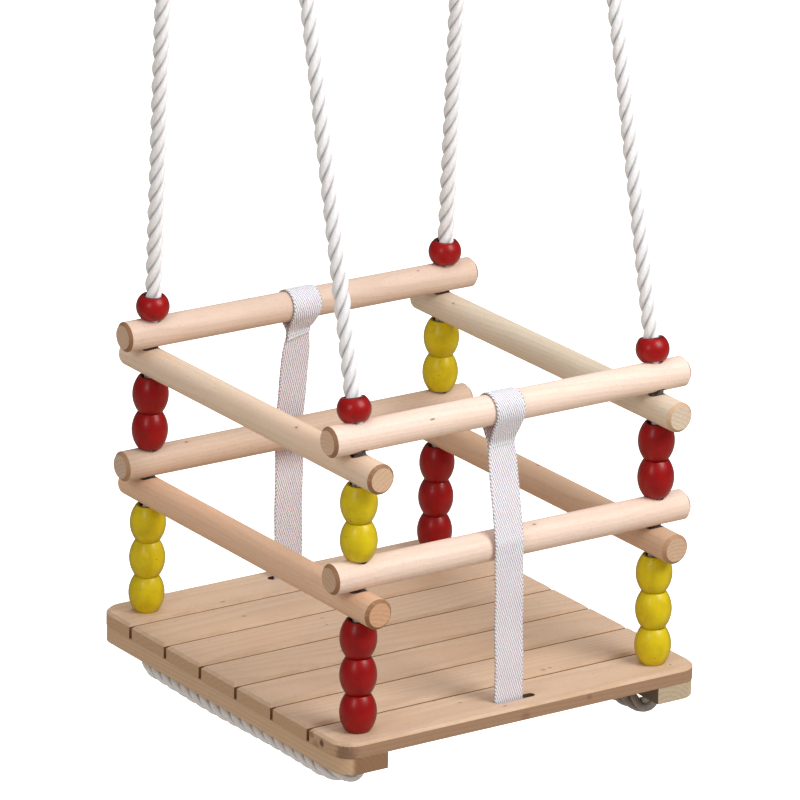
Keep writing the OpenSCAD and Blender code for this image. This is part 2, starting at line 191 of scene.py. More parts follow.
# ---------------------------------------------------------------- wood
def wood(piece, axis, seed, light, dark, ring, contrast, rough, chamfer=None, edge=None,
         knots=(), spots=(), slot_y=None, sides=0.0, gaps=(), end_tone=0.62, end_dim=0.0,
         inner=None):
    """Sawn or turned wood. The growth rings are cylinders round a line well off the middle.

    axis: the grain's axis; ring: ring spacing; contrast: how strongly the rings show
    chamfer, edge: colours of the slanted rims of the ends and of the long edges
    knots: (along, across, radius, strength); spots: (x, y, z, radius, strength)
    sides: how much darker the side faces are; gaps: signs of the Y faces inside the gaps between
    slats, which get painted shade
    end_tone: how dark the end grain is; end_dim: how much painted shade darkens the end grain;
    inner: sign of the X face that gets painted shade
    """
    mat = new_material("wood_" + piece)
    rnd = random.Random(seed)
    coords = mat.node("TexCoord").outputs
    middle = centre(piece)
    x, y, z = mat.split(coords["Object"])
    normal_x, normal_y, normal_z = mat.split(coords["Normal"])
    if axis == "X":
        along, across, normal_along = x - middle.x, y - middle.y, normal_x
    else:
        along, across, normal_along = y - middle.y, x - middle.x, normal_y
    height = z - middle.z
    offset = rnd.uniform(-9, 9)
    pith_angle = rnd.uniform(0.7, 2.4)
    pith_distance = rnd.uniform(0.022, 0.060)
    lean_across, lean_up = rnd.uniform(-0.05, 0.05), rnd.uniform(-0.05, 0.05)

    # growth rings: pale early wood, a dark late band, then a sharp return
    broad = mat.noise((along * 4.5, across * 16 + offset, height * 16))
    fine = mat.noise((along * 16 + offset, across * 60, height * 60))
    from_pith = across + along * lean_across + pith_distance * math.cos(pith_angle)
    above_pith = height + along * lean_up + pith_distance * math.sin(pith_angle)
    radius = mat.math("SQRT", from_pith * from_pith + above_pith * above_pith)
    radius = radius + (broad * 0.012 + fine * 0.0016)
    phase = mat.math("FRACT", radius / ring)
    late = phase.step(0.25, 0.86) * (1.0 - phase.step(0.88, 1.0))

    # long fibres, short pores and slow changes of tone
    fibre = mat.noise((along * 26 + offset, across * 900, height * 900), detail=3.0, rough=0.6)
    pores = mat.noise((along * 330, across * 2600 + offset, height * 2600), detail=1.0)
    pores = pores.step(0.60, 0.72)
    tone = mat.noise((along * 7 + offset, across * 24, height * 24), detail=3.0)
    base = mat.mix(late * contrast, light, dark)
    base = mat.mix(fibre.step(0.42, 0.75) * (0.42 * contrast + 0.08), base, dark)
    base = mat.mix(pores * 0.30, base, tint(dark, 0.55))
    base = mat.mix(tone.step(0.45, 0.75) * 0.38, base, tint(light, 1.02, 0.90, 0.80))
    base = mat.mix(tone.step(0.42, 0.24) * 0.4, base, tint(light, 0.88, 0.90, 0.93))

    # small specks, in patches
    speck = mat.cells((along * 20, across * 60 + offset, height * 60)).step(0.075, 0.03)
    patch = mat.noise((along * 9, across * 30, offset), detail=0.0).step(0.55, 0.60)
    base = mat.mix(speck * patch * 0.75, base, rgb(110, 78, 52))

    # knots, long along the grain, each in a darker halo
    for knot_along, knot_across, knot_radius, strength in knots:
        run, side = along - knot_along, across - knot_across
        distance = mat.math("SQRT", run * run * 0.22 + side * side)
        base = mat.mix(distance.step(knot_radius * 3.2, knot_radius * 0.8) * 0.30, base, dark)
        base = mat.mix(distance.step(knot_radius, knot_radius * 0.35) * strength,
                       base, rgb(78, 50, 34))

    end_facing = abs(normal_along)
    end = end_facing.step(0.86, 0.97)
    up_facing = abs(normal_z)
    # the side faces are darker than the top
    if sides:
        side_tone = mat.mix(late * 0.3, rgb(150, 113, 84), rgb(126, 92, 66))
        base = mat.mix(up_facing.step(0.35, 0.12) * sides, base, side_tone)
    # painted shade on the slat faces that look into the gaps between slats
    for sign in gaps:
        face = up_facing.step(0.5, 0.2) * (normal_y * sign).step(0.4, 0.8)
        base = mat.mix(face * 0.85, base, rgb(118, 80, 52))

    # end grain: rings and open pores
    end_colour = mat.mix(end_tone, light, tint(dark, 0.98, 0.88, 0.74))
    end_colour = mat.mix(phase.step(0.15, 0.9) * 0.24, end_colour, tint(dark, 0.60))
    end_pores = mat.noise((0.0, across * 620, height * 620), detail=3.0, rough=0.7)
    end_colour = mat.mix(end_pores.step(0.40, 0.72) * 0.30, end_colour, tint(dark, 0.55))
    if sides:
        end_colour = mat.mix(sides * 0.38, end_colour, rgb(190, 152, 116))
    # painted shade on the end grain
    if end_dim:
        end_colour = mat.mix(end_dim, end_colour, rgb(88, 60, 40))
    base = mat.mix(end, base, end_colour)

    # painted shade on the batten's inner face, under the seat
    if inner is not None:
        face = up_facing.step(0.5, 0.2) * (normal_x * inner).step(0.5, 0.9)
        base = mat.mix(face * 0.86, base, rgb(62, 42, 26))
    if chamfer:
        rim = end_facing.step(0.22, 0.5) * (1.0 - end_facing.step(0.80, 0.95))
        uneven = mat.noise((along * 300, across * 300, height * 300))
        base = mat.mix(rim * (0.35 + uneven.step(0.05, 0.45) * 0.6), base, chamfer)
    if edge:
        slanted = up_facing.step(0.20, 0.55) * (1.0 - up_facing.step(0.80, 0.97))
        uneven = mat.noise((along * 34, across * 60, height * 60), detail=3.0)
        mask = slanted * (1.0 - end * 0.7) * (0.15 + uneven.step(0.35, 0.70) * 0.7)
        base = mat.mix(mask, base, edge)
    # painted shade on the walls of the strap's slot
    if slot_y is not None:
        inside = abs(y - slot_y).step(0.0046, 0.0042) * abs(x).step(0.0245, 0.0240)
        base = mat.mix(inside * up_facing.step(0.7, 0.3) * 0.9, base, rgb(86, 56, 36))
    for spot_x, spot_y, spot_z, spot_radius, strength in spots:
        distance = mat.signal("VectorMath", {0: coords["Object"], 1: (spot_x, spot_y, spot_z)},
                              "Value", operation="DISTANCE")
        ragged = mat.noise(coords["Object"], scale=420.0) - 0.5
        distance = distance + ragged * (spot_radius * 0.9)
        base = mat.mix(distance.step(spot_radius, spot_radius * 0.35) * strength,
                       base, rgb(84, 54, 36))

    relief = fibre * 0.55 + late * 0.25 + pores * -0.6
    bump = mat.bump(relief, strength=0.55, distance=0.00022, bevel=0.0007)
    return mat.finish(Base_Color=base, Roughness=rough - 0.06 + fibre * 0.16, Normal=bump,
                      Specular_IOR_Level=0.42)


# ---------------------------------------------------------------- other materials
def lacquer(piece, seed, colour, deep, speck_colour, speck_strength):
    """Glossy paint on a turned bead or ball with an upright bore."""
    mat = new_material("lacquer_" + piece)
    coords = mat.node("TexCoord").outputs
    middle = centre(piece)
    x, y, z = mat.split(coords["Object"])
    x, y, z = x - middle.x, y - middle.y, z - middle.z
    offset = random.Random(seed).uniform(-20, 20)
    point = mat.xyz(x + offset, y, z)
    cloud = mat.noise(point, scale=95.0, detail=3.0, rough=0.55)
    base = mat.mix(cloud.step(0.35, 0.75) * 0.55, colour, deep)
    # grain of the wood under the coat
    grain = mat.noise((x * 900 + offset, y * 900, z * 60))
    base = mat.mix(grain.step(0.58, 0.78) * 0.22, base, deep)
    speck = mat.cells(point, scale=210.0).step(0.17, 0.06)
    patch = mat.noise(point, scale=130.0, detail=0.0).step(0.55, 0.62)
    base = mat.mix(speck * patch * speck_strength, base, speck_colour)
    # the coat is darker at the rims of the bore, and the bore is bare
    radius = mat.math("SQRT", x * x + y * y)
    low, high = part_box(piece)
    half = (high.z - low.z) / 2
    rim = abs(z).step(half - 0.0016, half - 0.0002) * radius.step(0.0102, 0.0080)
    base = mat.mix(rim * 0.65, base, tint(deep, 0.35))
    base = mat.mix(radius.step(0.00695, 0.00684), base, rgb(92, 62, 40))
    # painted shade: the coat is darker where it is seen at a slant, towards the outline
    slant = mat.signal("LayerWeight", {"Blend": 0.5}, "Facing")
    base = mat.mix(slant.step(0.30, 0.95) * 0.55, base, tint(deep, 0.30))
    orange_peel = mat.noise(point, scale=900.0)
    lathe_lines = mat.noise((offset, 0.0, z * 1500), detail=1.0)
    relief = orange_peel * 0.5 + lathe_lines * 0.25 + grain * 0.6
    bump = mat.bump(relief, strength=0.20, distance=0.00018, bevel=0.0009)
    return mat.finish(Base_Color=base, Roughness=0.30 + cloud * 0.12, Normal=bump,
                      Specular_IOR_Level=0.30, Coat_Weight=0.08, Coat_Roughness=0.16)


def rope_material():
    """Filaments run nearly along the rope.

    rope_p is (round x, round y, distance along) in metres, rope_valley is 1 between the
    strands and rope_shade is how much painted shade darkens the rope.
    """
    mat = new_material("laid_rope")
    x, y, distance = mat.split(mat.signal("Attribute", None, "Vector", attribute_name="rope_p"))
    valley = mat.signal("Attribute", None, "Fac", attribute_name="rope_valley")
    fine = mat.noise((x * 1500, y * 1500, distance * 70), detail=3.0, rough=0.6)
    coarse = mat.noise((x * 620, y * 620, distance * 45), detail=1.0)
    slow = mat.noise((0.0, 0.0, distance * 9))
    base = mat.mix(fine.step(0.62, 0.35) * 0.38, rgb(250, 251, 255), rgb(216, 216, 222))
    base = mat.mix(coarse.step(0.60, 0.40) * 0.16, base, rgb(210, 210, 216))
    base = mat.mix(slow.step(0.45, 0.70) * 0.10, base, rgb(240, 232, 222))
    # painted shade in the valleys between the strands
    base = mat.mix(valley.step(0.0, 1.0) * 0.62, base, rgb(142, 138, 140))
    # painted shade: the rope darkens towards a dark brown where rope_shade is high
    shade = mat.signal("Attribute", None, "Fac", attribute_name="rope_shade")
    base = mat.mix(shade, base, rgb(74, 60, 47))
    bump = mat.bump(fine * 0.6 + coarse * 0.6, strength=0.80, distance=0.0005)
    return mat.finish(Base_Color=base, Roughness=0.40 + fine * 0.15, Normal=bump,
                      Specular_IOR_Level=0.45, Sheen_Weight=0.2, Sheen_Roughness=0.4,
                      Subsurface_Weight=0.10, Subsurface_Scale=0.004)


def webbing_material(length):
    """Twill tape. web_uv is (across, along) in metres, then 3 outside or -3 inside."""
    mat = new_material("twill_webbing")
    x, distance, side = mat.split(
        mat.signal("Attribute", None, "Vector", attribute_name="web_uv"))
    jitter = mat.noise((x * 260, distance * 260, side))
    # steep diagonal ribs, each broken into short floats; the two faces lean opposite ways
    lean = distance / 0.0056 * (side / 3.0)
    phase = x / 0.00188 + lean + (jitter - 0.5) * 0.30
    from_crest = abs(mat.math("FRACT", phase) * 2.0 - 1.0)
    rib = 1.0 - from_crest * from_crest
    gap = from_crest.step(0.50, 0.86)
    beat = (distance / 0.0024 + mat.math("FLOOR", phase) * 0.5) * math.pi
    dash = abs(mat.math("SINE", beat)).step(0.25, 0.85)
    thread = mat.noise((x * 3800, distance * 500, side))
    relief = rib * 0.7 + dash * 0.25 + thread * 0.12
    # toothed selvedges
    selvedge = abs(x).step(0.0112, 0.0124)
    # painted shade in the grooves between the ribs, broken into short dashes
    base = mat.mix(gap * (0.22 + dash * 0.78), rgb(249, 245, 255), rgb(131, 120, 152))
    # painted shade between the selvedge's teeth
    teeth = abs(mat.math("SINE", (distance + abs(x) * 0.9) * (math.pi / 0.0030)))
    base = mat.mix(selvedge, base, mat.mix(teeth.step(0.62, 0.25), rgb(246, 242, 250),
                                           rgb(142, 131, 146)))
    # pale cut ends, about 1 mm deep
    cut = distance.step(0.0013, 0.0009) + distance.step(length - 0.0013, length - 0.0009)
    base = mat.mix(mat.math("MINIMUM", cut, 1.0), base, rgb(255, 252, 253))
    tone = mat.noise((x * 60, distance * 22, side))
    base = mat.mix(tone.step(0.45, 0.75) * 0.22, base, rgb(222, 214, 222))
    bump = mat.bump(relief, strength=0.9, distance=0.00055)
    return mat.finish(Base_Color=base, Roughness=0.62, Normal=bump, Specular_IOR_Level=0.3,
                      Sheen_Weight=0.3, Sheen_Roughness=0.45,
                      Subsurface_Weight=0.35, Subsurface_Scale=0.003)


def thread_material():
    mat = new_material("sewing_thread")
    fuzz = mat.noise(mat.signal("TexCoord", output="Object"), scale=2600.0)
    base = mat.mix(fuzz.step(0.35, 0.7), rgb(214, 208, 214), rgb(240, 238, 240))
    return mat.finish(Base_Color=base, Roughness=0.5, Sheen_Weight=0.2,
                      Normal=mat.bump(fuzz, strength=0.6, distance=0.0002))


def metal(name, colour, rough, stretch, scale=900.0):
    """Brushed metal. stretch scales the axes of the brush marks: below 1 makes them longer."""
    mat = new_material(name)
    x, y, z = mat.split(mat.signal("TexCoord", output="Object"))
    brushed = mat.noise((x * stretch[0], y * stretch[1], z * stretch[2]),
                        scale=scale, detail=3.0, rough=0.6)
    cloud = mat.noise((x, y, z), scale=160.0, detail=3.0)
    base = mat.mix(cloud.step(0.40, 0.72) * 0.5, colour, tint(colour, 0.62))
    bump = mat.bump(brushed * 0.5 + cloud * 0.5, strength=0.30, distance=0.00015, bevel=0.0004)
    return mat.finish(Base_Color=base, Metallic=1.0, Roughness=rough + brushed * 0.22,
                      Normal=bump)


# ---------------------------------------------------------------- materials of the pieces
SLOT_Y = 0.159      # the strap's slots in the front and rear slats, from the middle

RAIL_LIGHT, RAIL_DARK = rgb(229, 205, 181), rgb(206, 172, 141)
SLAT_LIGHT, SLAT_DARK = rgb(219, 191, 166), rgb(190, 154, 124)

# one set of channel factors on the rail colours for each rail
RAIL_TINT = {
    "left_lower_rail": (1.03, 0.87, 0.79), "right_lower_rail": (0.88, 0.78, 0.72),
    "left_top_rail": (1.08, 1.08, 1.11), "right_top_rail": (1.0, 1.10, 1.16),
    "front_lower_rail": (1.12, 1.16, 1.22), "front_top_rail": (1.12, 1.16, 1.22),
    "rear_lower_rail": (0.87, 0.84, 0.79), "rear_top_rail": (0.94, 0.93, 0.93),
}
# how dark the end grain is
END_TONE = {
    "right_lower_rail": 0.10, "right_top_rail": 0.15, "rear_lower_rail": 0.10,
    "rear_top_rail": 0.45, "front_lower_rail": 0.80, "front_top_rail": 0.72,
}
CHAMFER = {
    "right_lower_rail": rgb(176, 132, 98), "right_top_rail": rgb(200, 166, 134),
    "rear_lower_rail": rgb(172, 132, 96),
}
# dark spots on the slats: x, y, z, radius, strength
corner_x, corner_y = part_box("front_slat")[0].x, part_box("front_slat")[0].y
slat_3_y, slat_6_y = centre("slat_3").y, centre("slat_6").y
SPOTS = {
    "front_slat": [
        (corner_x, corner_y + 0.030, -0.0065, 0.0040, 0.90),
        (corner_x + 0.005, corner_y + 0.005, -0.009, 0.011, 0.42),
        (corner_x, corner_y + 0.044, -0.004, 0.0045, 0.45),
        (corner_x, corner_y + 0.038, -0.011, 0.006, 0.35),
        (0.146, corner_y + 0.013, 0.0, 0.0012, 0.8),
        (0.0, corner_y, -0.009, 0.006, 0.3),
        (0.060, corner_y, -0.005, 0.0035, 0.35),
    ],
    "slat_3": [(-0.034, slat_3_y - 0.002, 0.0, 0.0011, 0.9)],
    "slat_6": [(0.055, slat_6_y - 0.019, 0.0, 0.0032, 0.35),
               (0.062, slat_6_y - 0.018, 0.0, 0.0020, 0.5)],
}


def rail_wood(piece, seed):
    axis = "X" if piece.startswith(("front", "rear")) else "Y"
    rnd = random.Random(seed)
    brightness = 1 + rnd.uniform(-0.03, 0.03)
    factors = RAIL_TINT[piece]
    light = tuple(min(channel * brightness * factor, 0.97)
                  for channel, factor in zip(RAIL_LIGHT, factors)) + (1,)
    dark = tuple(min(channel, 0.9) for channel in tint(RAIL_DARK, *factors)[:3]) + (1,)
    if axis == "X":
        light = tint(light, 1, 0.985, 1.07)
    knots = [(rnd.uniform(-0.13, 0.13), rnd.uniform(-0.009, 0.009),
              rnd.uniform(0.0006, 0.0011), 0.7) for _ in range(2)]
    return wood(piece, axis, seed, light, dark, ring=rnd.uniform(0.0026, 0.004), contrast=0.20,
                rough=0.5, chamfer=CHAMFER.get(piece, rgb(146, 102, 66)), knots=knots,
                end_tone=END_TONE.get(piece, 0.62),
                # painted shade on the front lower rail's end grain
                end_dim=0.14 if piece == "front_lower_rail" else 0.0)


def slat_wood(piece, seed):
    rnd = random.Random(seed)
    brightness = 1 + rnd.uniform(-0.07, 0.06)
    knots = [(rnd.uniform(-0.14, 0.14), rnd.uniform(-0.018, 0.018),
              rnd.uniform(0.0008, 0.0016), 0.85) for _ in range(rnd.choice([1, 2, 2]))]
    return wood(piece, "X", seed, tint(SLAT_LIGHT, brightness), SLAT_DARK,
                ring=rnd.uniform(0.0034, 0.0052), contrast=0.26, rough=0.53, knots=knots,
                edge=rgb(198, 164, 130), sides=0.8,
                slot_y={"front_slat": -SLOT_Y, "rear_slat": SLOT_Y}.get(piece),
                gaps={"front_slat": (1,), "rear_slat": (-1,)}.get(piece, (-1, 1)),
                spots=SPOTS.get(piece, ()))


def batten_wood(piece, seed):
    # the left batten's end grain and both battens' inner faces get painted shade
    if piece.startswith("left"):
        return wood(piece, "Y", seed, rgb(208, 176, 145), rgb(178, 142, 111), ring=0.0036,
                    contrast=0.30, rough=0.55, edge=rgb(168, 122, 84), end_tone=0.9,
                    end_dim=0.42, inner=1)
    return wood(piece, "Y", seed, rgb(200, 182, 156), rgb(174, 152, 124), ring=0.0036,
                contrast=0.22, rough=0.55, edge=rgb(150, 122, 92), end_tone=0.05, inner=-1)


def bead_lacquer(piece, seed):
    slots = nodes[piece].material_slots
    if any("yellow" in slot.material.name for slot in slots if slot.material):
        return lacquer(piece, seed, colour=rgb(220, 197, 12), deep=rgb(188, 160, 8),
                       speck_colour=rgb(112, 90, 18), speck_strength=0.7)
    if piece.endswith("_ball"):
        colour, deep = rgb(162, 2, 7), rgb(128, 1, 4)
    else:
        colour, deep = rgb(154, 1, 4), rgb(120, 1, 3)
    return lacquer(piece, seed, colour, deep, speck_colour=rgb(62, 3, 5), speck_strength=0.3)


def piece_material(piece, seed):
    """The piece's new material, or None if it keeps its own."""
    if piece.endswith("_rail"):
        return rail_wood(piece, seed)
    if "slat" in piece:
        return slat_wood(piece, seed)
    if piece.endswith("_batten"):
        return batten_wood(piece, seed)
    if "_bead_" in piece or piece.endswith("_ball"):
        return bead_lacquer(piece, seed)
    if piece.endswith("_screws"):
        return metal("zinc_" + piece, rgb(196, 196, 190), rough=0.28, stretch=(1, 1, 6))
    if piece.endswith("_ring"):
        return metal("steel_" + piece, rgb(202, 204, 208), rough=0.20, stretch=(1, 8, 1))
    if piece.endswith("_sleeve"):
        return metal("aluminium_" + piece, rgb(206, 208, 210), rough=0.30,
                     stretch=(1, 1, 0.12), scale=700.0)
    return None


for index, piece in enumerate(sorted(nodes)):
    material = piece_material(piece, seed=18 + 7 * index)
    if material:
        for slot in nodes[piece].material_slots:
            slot.material = material


# ---------------------------------------------------------------- mesh helpers
def mesh_object(name, verts, faces, material):
    mesh = bpy.data.meshes.new(name)
    mesh.from_pydata([tuple(vert) for vert in verts], [], [tuple(face) for face in faces])
    mesh.validate()
    mesh.materials.append(material)
    mesh.polygons.foreach_set("use_smooth", [True] * len(mesh.polygons))
    mesh.update()
    obj = bpy.data.objects.new(name, mesh)
    bpy.context.scene.collection.objects.link(obj)
    return obj


def tube_faces(rows, columns):
    """Quads of a tube whose closed rings are stored one after another."""
    grid = np.arange(rows * columns).reshape(rows, columns)
    after = np.roll(grid, -1, 1)
    return np.stack([grid[:-1], after[:-1], after[1:], grid[1:]], -1).reshape(-1, 4)


def attribute(obj, name, kind, values):
    layer = obj.data.attributes.new(name, kind, "POINT")
    field = "vector" if kind == "FLOAT_VECTOR" else "value"
    layer.data.foreach_set(field, np.asarray(values, np.float32).ravel())


def distances(points):
    """Distance along a line at each of its points."""
    return np.r_[0, np.cumsum(np.linalg.norm(np.diff(points, axis=0), axis=1))]


def resample(points, spacing):
    points = np.asarray(points, float)
    old = distances(points)
    count = max(2, int(round(old[-1] / spacing)) + 1)
    new = np.linspace(0, old[-1], count)
    return np.stack([np.interp(new, old, column) for column in points.T], 1)


def smooth_line(points, sigma):
    """Gaussian smoothing, sigma in steps, with both ends carried on straight."""
    reach = int(3 * sigma) + 1
    weights = np.exp(-0.5 * (np.arange(-reach, reach + 1) / sigma) ** 2)
    weights /= weights.sum()
    first = points[0] + (points[0] - points[1])[None] * np.arange(reach, 0, -1)[:, None]
    last = points[-1] + (points[-1] - points[-2])[None] * np.arange(1, reach + 1)[:, None]
    padded = np.r_[first, points, last]
    return np.stack([np.convolve(column, weights, "valid") for column in padded.T], 1)


def smooth_values(values, sigma):
    return smooth_line(np.stack([values] * 2, 1), sigma)[:, 0]


def headings(points):
    tangents = np.gradient(points, axis=0)
    return tangents / np.linalg.norm(tangents, axis=1)[:, None]


def arc(middle, radius, start, end, count):
    return [(middle[0] + radius * math.cos(angle), middle[1] + radius * math.sin(angle))
            for angle in np.linspace(start, end, count)]


def corner(before, tip, after, radius):
    """Rounded corner at tip on the way from before to after."""
    before, tip, after = (np.array(point, float) for point in (before, tip, after))
    back = (before - tip) / np.linalg.norm(before - tip)
    ahead = (after - tip) / np.linalg.norm(after - tip)
    half = math.acos(max(-1, min(1, float(back @ ahead)))) / 2
    cut = radius / math.tan(half)
    middle = tip + (back + ahead) / np.linalg.norm(back + ahead) * radius / math.sin(half)
    start = math.atan2(*(tip + back * cut - middle)[::-1])
    end = math.atan2(*(tip + ahead * cut - middle)[::-1])
    while end - start > math.pi:
        end -= 2 * math.pi
    while end - start < -math.pi:
        end += 2 * math.pi
    return arc(middle, radius, start, end, 16)


def fade(values, at, width):
    """1 well below at, 0 well above it."""
    return 1 / (1 + np.exp(np.clip((values - at) / width, -40, 40)))


# ---------------------------------------------------------------- ropes
ROPE_RADIUS = 0.0060        # the line keeps this far from what it touches
STRAND_REACH = 0.0066       # outer radius of the three laid strands
LAY_LENGTH = 0.044          # one full twist
BEND_RADIUS = 0.009         # corners under the seat

swing = joints["swing"]["pos_m"]
ring_low, ring_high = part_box("left_ring")
sleeve_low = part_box("left_rope_sleeve")[0].z - 0.0025
sleeve_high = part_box("left_rope_sleeve")[1].z + 0.0005
leg_half = ROPE_RADIUS + 0.0005     # from the middle of the sleeve to either leg
eye_radius = (ring_high.y - ring_low.y) / 2 + 0.0019 + ROPE_RADIUS
# the flare's radius that makes the legs run smoothly into the eye
eye_foot = sleeve_high + 0.001
eye_rise = swing[2] - sleeve_high - 0.001
eye_flare = (eye_rise ** 2 - eye_radius ** 2 + leg_half ** 2) / (2 * (eye_radius - leg_half))
eye_angle = math.acos((leg_half + eye_flare) / (eye_radius + eye_flare))
z_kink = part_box("left_top_rail")[1].z + 0.00005
z_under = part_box("left_rope")[0].z + ROPE_RADIUS


def stack_y(side, z):
    """y of the front or rear bead stack at height z."""
    first, last = centre(f"{side}_left_bead_1"), centre(f"{side}_left_bead_5")
    return first.y + (last.y - first.y) * (z - first.z) / (last.z - first.z)


def rope_line():
    """(y, z) from the sleeve down the rear stack, under the seat, up the front, round the eye."""
    hang_y, eye_z = swing[1], swing[2]
    mid = (sleeve_low + sleeve_high) / 2
    rear_kink, front_kink = ((stack_y(side, z_kink), z_kink) for side in ("rear", "front"))
    rear_under, front_under = ((stack_y(side, z_under), z_under) for side in ("rear", "front"))
    points = [(hang_y + leg_half, mid - 0.0003), (hang_y + leg_half, sleeve_low), rear_kink]
    points += corner(rear_kink, rear_under, front_under, BEND_RADIUS)
    points += corner(rear_under, front_under, front_kink, BEND_RADIUS)
    points += [front_kink, (hang_y - leg_half, sleeve_low), (hang_y - leg_half, eye_foot)]
    points += arc((hang_y - leg_half - eye_flare, eye_foot), eye_flare, 0, eye_angle, 8)
    points += arc((hang_y, eye_z), eye_radius, math.pi + eye_angle, -eye_angle, 36)
    points += arc((hang_y + leg_half + eye_flare, eye_foot), eye_flare,
                  math.pi - eye_angle, math.pi, 8)
    points.append((hang_y + leg_half, mid + 0.0003))
    return points


def strand_profile():
    """Three circles that press on each other. Columns: radius, angle, 0 at a crest to 1."""
    circle, offset = STRAND_REACH * 0.545, STRAND_REACH * 0.455
    half_span = math.radians(109)
    profile = []
    for strand in range(3):
        for local in np.linspace(-1, 1, 15)[:-1]:
            x = offset + circle * math.cos(local * half_span)
            y = circle * math.sin(local * half_span)
            dip = 1 - 0.10 * max(0.0, (abs(local) - 0.72) / 0.28) ** 2
            angle = math.atan2(y, x) + 2 * math.pi * strand / 3
            profile.append((math.hypot(x, y) * dip, angle, abs(local)))
    return np.array(profile).T


def build_rope(side, start_angle, sag_x, sag_z, under_shade):
    """sag_x, sag_z: how far the run under the seat hangs sideways and up; under_shade: the painted
    shade on it
    """
    rope_x = centre(f"{side}_rope").x
    line = smooth_line(resample(rope_line(), 0.0012), 2.4)
    # the run under the seat hangs a little to one side between its two holes
    hole_y = abs(stack_y("front", z_under))
    sag = np.clip((hole_y - 0.001 - np.abs(line[:, 0])) / 0.030, 0, 1)
    sag = sag * sag * (3 - 2 * sag) * fade(line[:, 1], z_under + 0.011, 0.0022)
    wander = 1 + 0.10 * np.sin(line[:, 0] * 31 + start_angle) * sag
    path = np.stack([rope_x + sag_x * sag * wander, line[:, 0], line[:, 1] + sag_z * sag], 1)
    path = smooth_line(path, 3.0)
    tangent = headings(path)
    along = distances(path)

    # drawn tight where it runs through the beads and the rails
    under = fade(path[:, 2], z_under + 0.013, 0.0020)
    inside = fade(path[:, 2], centre("front_top_rail").z, 0.0012) * (1 - under)
    # painted shade on the hidden rope, darkest where it is pinched between two crossing rails
    pinch = sum(np.exp(-((path[:, 2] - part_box(f"left_{level}_rail")[1].z) / 0.0045) ** 2)
                for level in ("top", "lower"))
    shade = np.clip(inside * (0.40 + 0.58 * pinch) + under * under_shade, 0, 1)

    strand_radius, strand_angle, strand_local = strand_profile()
    rnd = np.random.RandomState(5 + int(rope_x > 0))
    swell = 1 + 0.008 * np.sin(along * 2 * math.pi / 0.31 + 1.3 * rnd.rand())
    swell = swell + 0.005 * np.sin(along * 2 * math.pi / 0.117 + 3 * rnd.rand())
    angle = strand_angle[None] + (start_angle + 2 * math.pi * along / LAY_LENGTH)[:, None]
    radius = strand_radius[None] * (swell * (1 - 0.17 * inside))[:, None]
    # yarns: fine ridges round each strand
    radius = radius + 0.00007 * np.cos(
        strand_local[None] * 9.0 + along[:, None] * 2 * math.pi / 0.006)
    round_x, round_y = radius * np.cos(angle), radius * np.sin(angle)
    sideways = np.array([[1.0, 0, 0]]) - tangent * tangent[:, :1]
    sideways /= np.linalg.norm(sideways, axis=1)[:, None]
    outward = np.cross(sideways, tangent)
    verts = path[:, None] + round_x[..., None] * outward[:, None]
    verts = (verts + round_y[..., None] * sideways[:, None]).reshape(-1, 3)

    # both ends close to a middle point
    rows, columns = radius.shape
    last = (rows - 1) * columns
    start_cap, end_cap = len(verts), len(verts) + 1
    verts = np.r_[verts, path[:1], path[-1:]]
    faces = tube_faces(rows, columns).tolist()
    faces += [(start_cap, (j + 1) % columns, j) for j in range(columns)]
    faces += [(end_cap, last + j, last + (j + 1) % columns) for j in range(columns)]
    rope = mesh_object(f"{side}_laid_rope", verts, faces, ROPE)
    flat = np.stack([round_x, round_y, np.repeat(along[:, None], columns, 1)], -1).reshape(-1, 3)
    attribute(rope, "rope_p", "FLOAT_VECTOR", np.r_[flat, [[0, 0, 0], [0, 0, along[-1]]]])
    valley = np.tile(np.clip((strand_local - 0.60) / 0.40, 0, 1), rows)
    attribute(rope, "rope_valley", "FLOAT", np.r_[valley, 0, 0])
    attribute(rope, "rope_shade", "FLOAT", np.r_[np.repeat(shade, columns), shade[0], shade[-1]])
    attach(rope, "seat")
    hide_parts(f"{side}_rope")


ROPE = rope_material()
# painted shade on the run under the seat: a little on the left rope, much on the right
build_rope("left", start_angle=0.4, sag_x=-0.0105, sag_z=-0.0008, under_shade=0.12)
build_rope("right", start_angle=2.1, sag_x=-0.0035, sag_z=0.0, under_shade=0.66)


# ---------------------------------------------------------------- webbing strap
THREAD = thread_material()
WEB_THICK = 0.0016
WEB_WIDTH = 0.0260
RAIL_RADIUS = (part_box("left_top_rail")[1].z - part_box("left_top_rail")[0].z) / 2
RUN_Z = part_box("slat_2")[0].z - 0.0006 - WEB_THICK / 2      # the run under the slats
SLOT_BEND = 0.0035
SEAM_DROP = {"front": 0.0265, "rear": 0.0205}   # seam below the top rail's middle
TAIL = 0.0055                                   # tape below the seam
SIGN = {"front": -1, "rear": 1}
# the strap's x at stations along it
STRAP_X = {
    "front": {"end": -0.0060, "rail": -0.0068, "seam": -0.0060, "low": -0.0095,
              "slot": -0.0042, "mid": -0.002},
    "rear": {"end": -0.0012, "rail": 0.0002, "seam": -0.0012, "low": 0.0029,
             "slot": 0.0012, "mid": -0.002},
}


